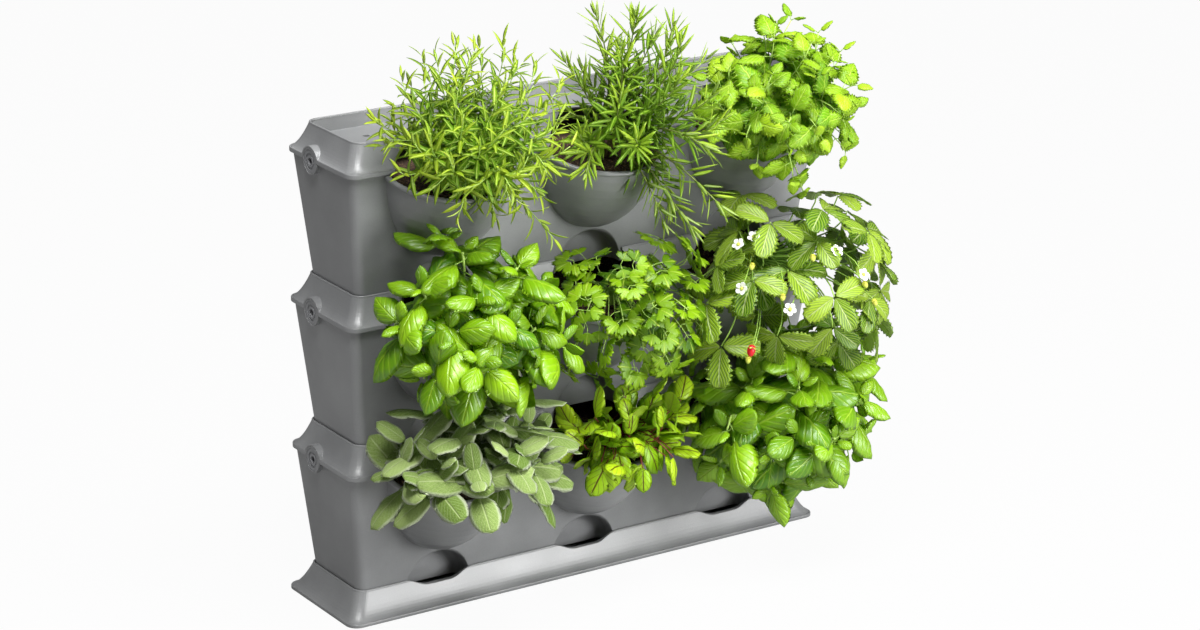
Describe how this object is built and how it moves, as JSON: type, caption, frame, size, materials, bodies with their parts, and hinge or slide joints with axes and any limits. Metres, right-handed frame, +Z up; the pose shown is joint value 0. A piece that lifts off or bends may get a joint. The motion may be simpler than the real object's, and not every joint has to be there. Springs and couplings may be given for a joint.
{
  "type": "vertical planter",
  "caption": "Stack of grey plastic planting tubs with rounded pockets along the front, arched niches, flared collars and a drip tray, planted with kitchen herbs.",
  "frame": {"origin": "middle of the drip tray's footprint on the floor", "axes": "+X to the right as seen from the planted front, -Y towards the planted front, +Z up"},
  "size_m": [0.659, 0.3444, 0.6868],
  "materials": {
    "grey_plastic": "satin",
    "plug_plastic": "satin",
    "soil": "matte",
    "tarragon": "matte",
    "rosemary": "matte",
    "lemon_balm": "matte",
    "basil_middle": "satin",
    "coriander": "matte",
    "strawberry": "matte",
    "sage": "matte",
    "red_sorrel": "satin",
    "basil_bottom": "satin"
  },
  "bodies": {
    "base": {"base_tray": "grey_plastic"},
    "module_1": {"tub_1": "grey_plastic", "lid_1": "grey_plastic", "soil_1": "soil", "sage": "sage", "red_sorrel": "red_sorrel", "basil_bottom": "basil_bottom"},
    "module_2": {"tub_2": "grey_plastic", "lid_2": "grey_plastic", "soil_2": "soil", "basil_middle": "basil_middle", "coriander": "coriander", "strawberry": "strawberry"},
    "module_3": {"tub_3": "grey_plastic", "lid_3": "grey_plastic", "soil_3": "soil", "tarragon": "tarragon", "rosemary": "rosemary", "lemon_balm": "lemon_balm"},
    "plug_left_1": {"plug_left_1": "plug_plastic"},
    "plug_right_1": {"plug_right_1": "plug_plastic"},
    "plug_left_2": {"plug_left_2": "plug_plastic"},
    "plug_right_2": {"plug_right_2": "plug_plastic"},
    "plug_left_3": {"plug_left_3": "plug_plastic"},
    "plug_right_3": {"plug_right_3": "plug_plastic"}
  },
  "joints": [
    {"name": "module_1_lift", "type": "slide", "parent": "base", "child": "module_1", "axis": [0, 0, 1], "range_m": [0, 0.06]},
    {"name": "module_2_lift", "type": "slide", "parent": "module_1", "child": "module_2", "axis": [0, 0, 1], "range_m": [0, 0.06]},
    {"name": "module_3_lift", "type": "slide", "parent": "module_2", "child": "module_3", "axis": [0, 0, 1], "range_m": [0, 0.06]},
    {"name": "plug_left_1_pull", "type": "slide", "parent": "module_1", "child": "plug_left_1", "axis": [-1, 0, 0], "range_m": [0, 0.02]},
    {"name": "plug_right_1_pull", "type": "slide", "parent": "module_1", "child": "plug_right_1", "axis": [1, 0, 0], "range_m": [0, 0.02]},
    {"name": "plug_left_2_pull", "type": "slide", "parent": "module_2", "child": "plug_left_2", "axis": [-1, 0, 0], "range_m": [0, 0.02]},
    {"name": "plug_right_2_pull", "type": "slide", "parent": "module_2", "child": "plug_right_2", "axis": [1, 0, 0], "range_m": [0, 0.02]},
    {"name": "plug_left_3_pull", "type": "slide", "parent": "module_3", "child": "plug_left_3", "axis": [-1, 0, 0], "range_m": [0, 0.02]},
    {"name": "plug_right_3_pull", "type": "slide", "parent": "module_3", "child": "plug_right_3", "axis": [1, 0, 0], "range_m": [0, 0.02]}
  ]
}
